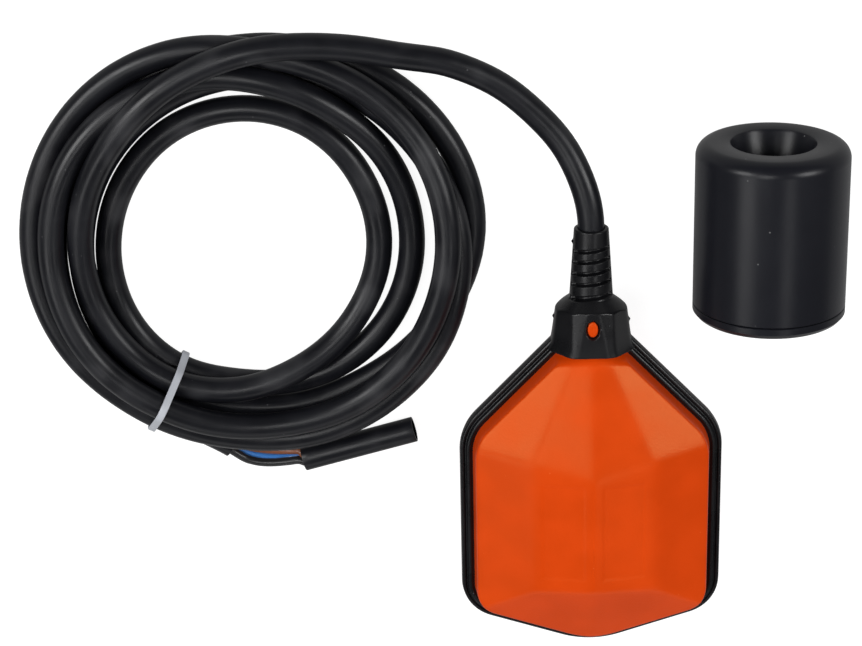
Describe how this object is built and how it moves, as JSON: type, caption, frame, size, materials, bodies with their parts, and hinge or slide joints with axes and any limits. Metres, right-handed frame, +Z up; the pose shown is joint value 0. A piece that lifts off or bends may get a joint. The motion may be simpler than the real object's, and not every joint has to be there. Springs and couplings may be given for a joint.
{
  "type": "cable float switch",
  "caption": "Faceted float switch on a coiled three-core cable, with a cylindrical counterweight that slides on the cable and hidden ball, lever and microswitch.",
  "frame": {"origin": "centre of the flat strip on the float's rear shell, on the surface that the float lies on", "axes": "+Z up out of the front shell, +Y along the float's axis from its lower tip to its cable end, +X towards the counterweight"},
  "size_m": [0.2459, 0.1986, 0.0455],
  "materials": {
    "orange_polypropylene": "finely grained moulded plastic",
    "soft_black": "satin moulded",
    "black_plastic": "satin moulded",
    "cable_sheath": "satin, lightly scuffed",
    "capsule_plastic": "moulded",
    "switch_case": "moulded",
    "switch_button": "moulded",
    "steel": "bright",
    "brass": "stamped",
    "cast_iron": "as cast",
    "nylon_tie": "natural nylon",
    "core_brown": "smooth insulation",
    "core_black": "smooth insulation",
    "core_blue": "smooth insulation"
  },
  "bodies": {
    "float": {"front_shell": "orange_polypropylene", "rear_shell": "orange_polypropylene", "seal_boot": "soft_black", "capsule_tray": "capsule_plastic", "capsule_lid": "capsule_plastic", "microswitch_case": "switch_case", "terminal_open": "brass", "terminal_common": "brass", "terminal_closed": "brass", "inner_core_brown": "core_brown", "inner_core_black": "core_black", "inner_core_blue": "core_blue", "cable_inside": "cable_sheath", "cable_clamp": "capsule_plastic", "clamp_screw_left": "steel", "clamp_screw_right": "steel", "cable_gland": "soft_black", "counterweight_shell": "black_plastic", "counterweight_cap": "black_plastic", "ballast_ring": "cast_iron", "cable_lead": "cable_sheath", "cable_coil": "cable_sheath", "cable_tie": "nylon_tie", "tail_core_brown": "core_brown", "tail_core_black": "core_black", "tail_core_blue": "core_blue", "sheath_sleeve": "cable_sheath"},
    "ball": {"steel_ball": "steel"},
    "lever": {"switch_lever": "steel"},
    "plunger": {"switch_plunger": "switch_button"}
  },
  "joints": [
    {"name": "ball_roll", "type": "slide", "parent": "float", "child": "ball", "axis": [0, 1, 0], "range_m": [0, 0.0164]},
    {"name": "lever_hinge", "type": "hinge", "parent": "float", "child": "lever", "pos_m": [-0.0115, 0.0069, 0.01982], "axis": [0, 0, 1], "range_deg": [0, 7]},
    {"name": "plunger_slide", "type": "slide", "parent": "float", "child": "plunger", "axis": [0, 1, 0], "range_m": [0, 0.00073]}
  ],
  "couplings": [
    {"joint": "lever_hinge", "follows": "ball_roll", "rad_per_m": 7.44},
    {"joint": "plunger_slide", "follows": "ball_roll", "ratio": 0.0444}
  ]
}
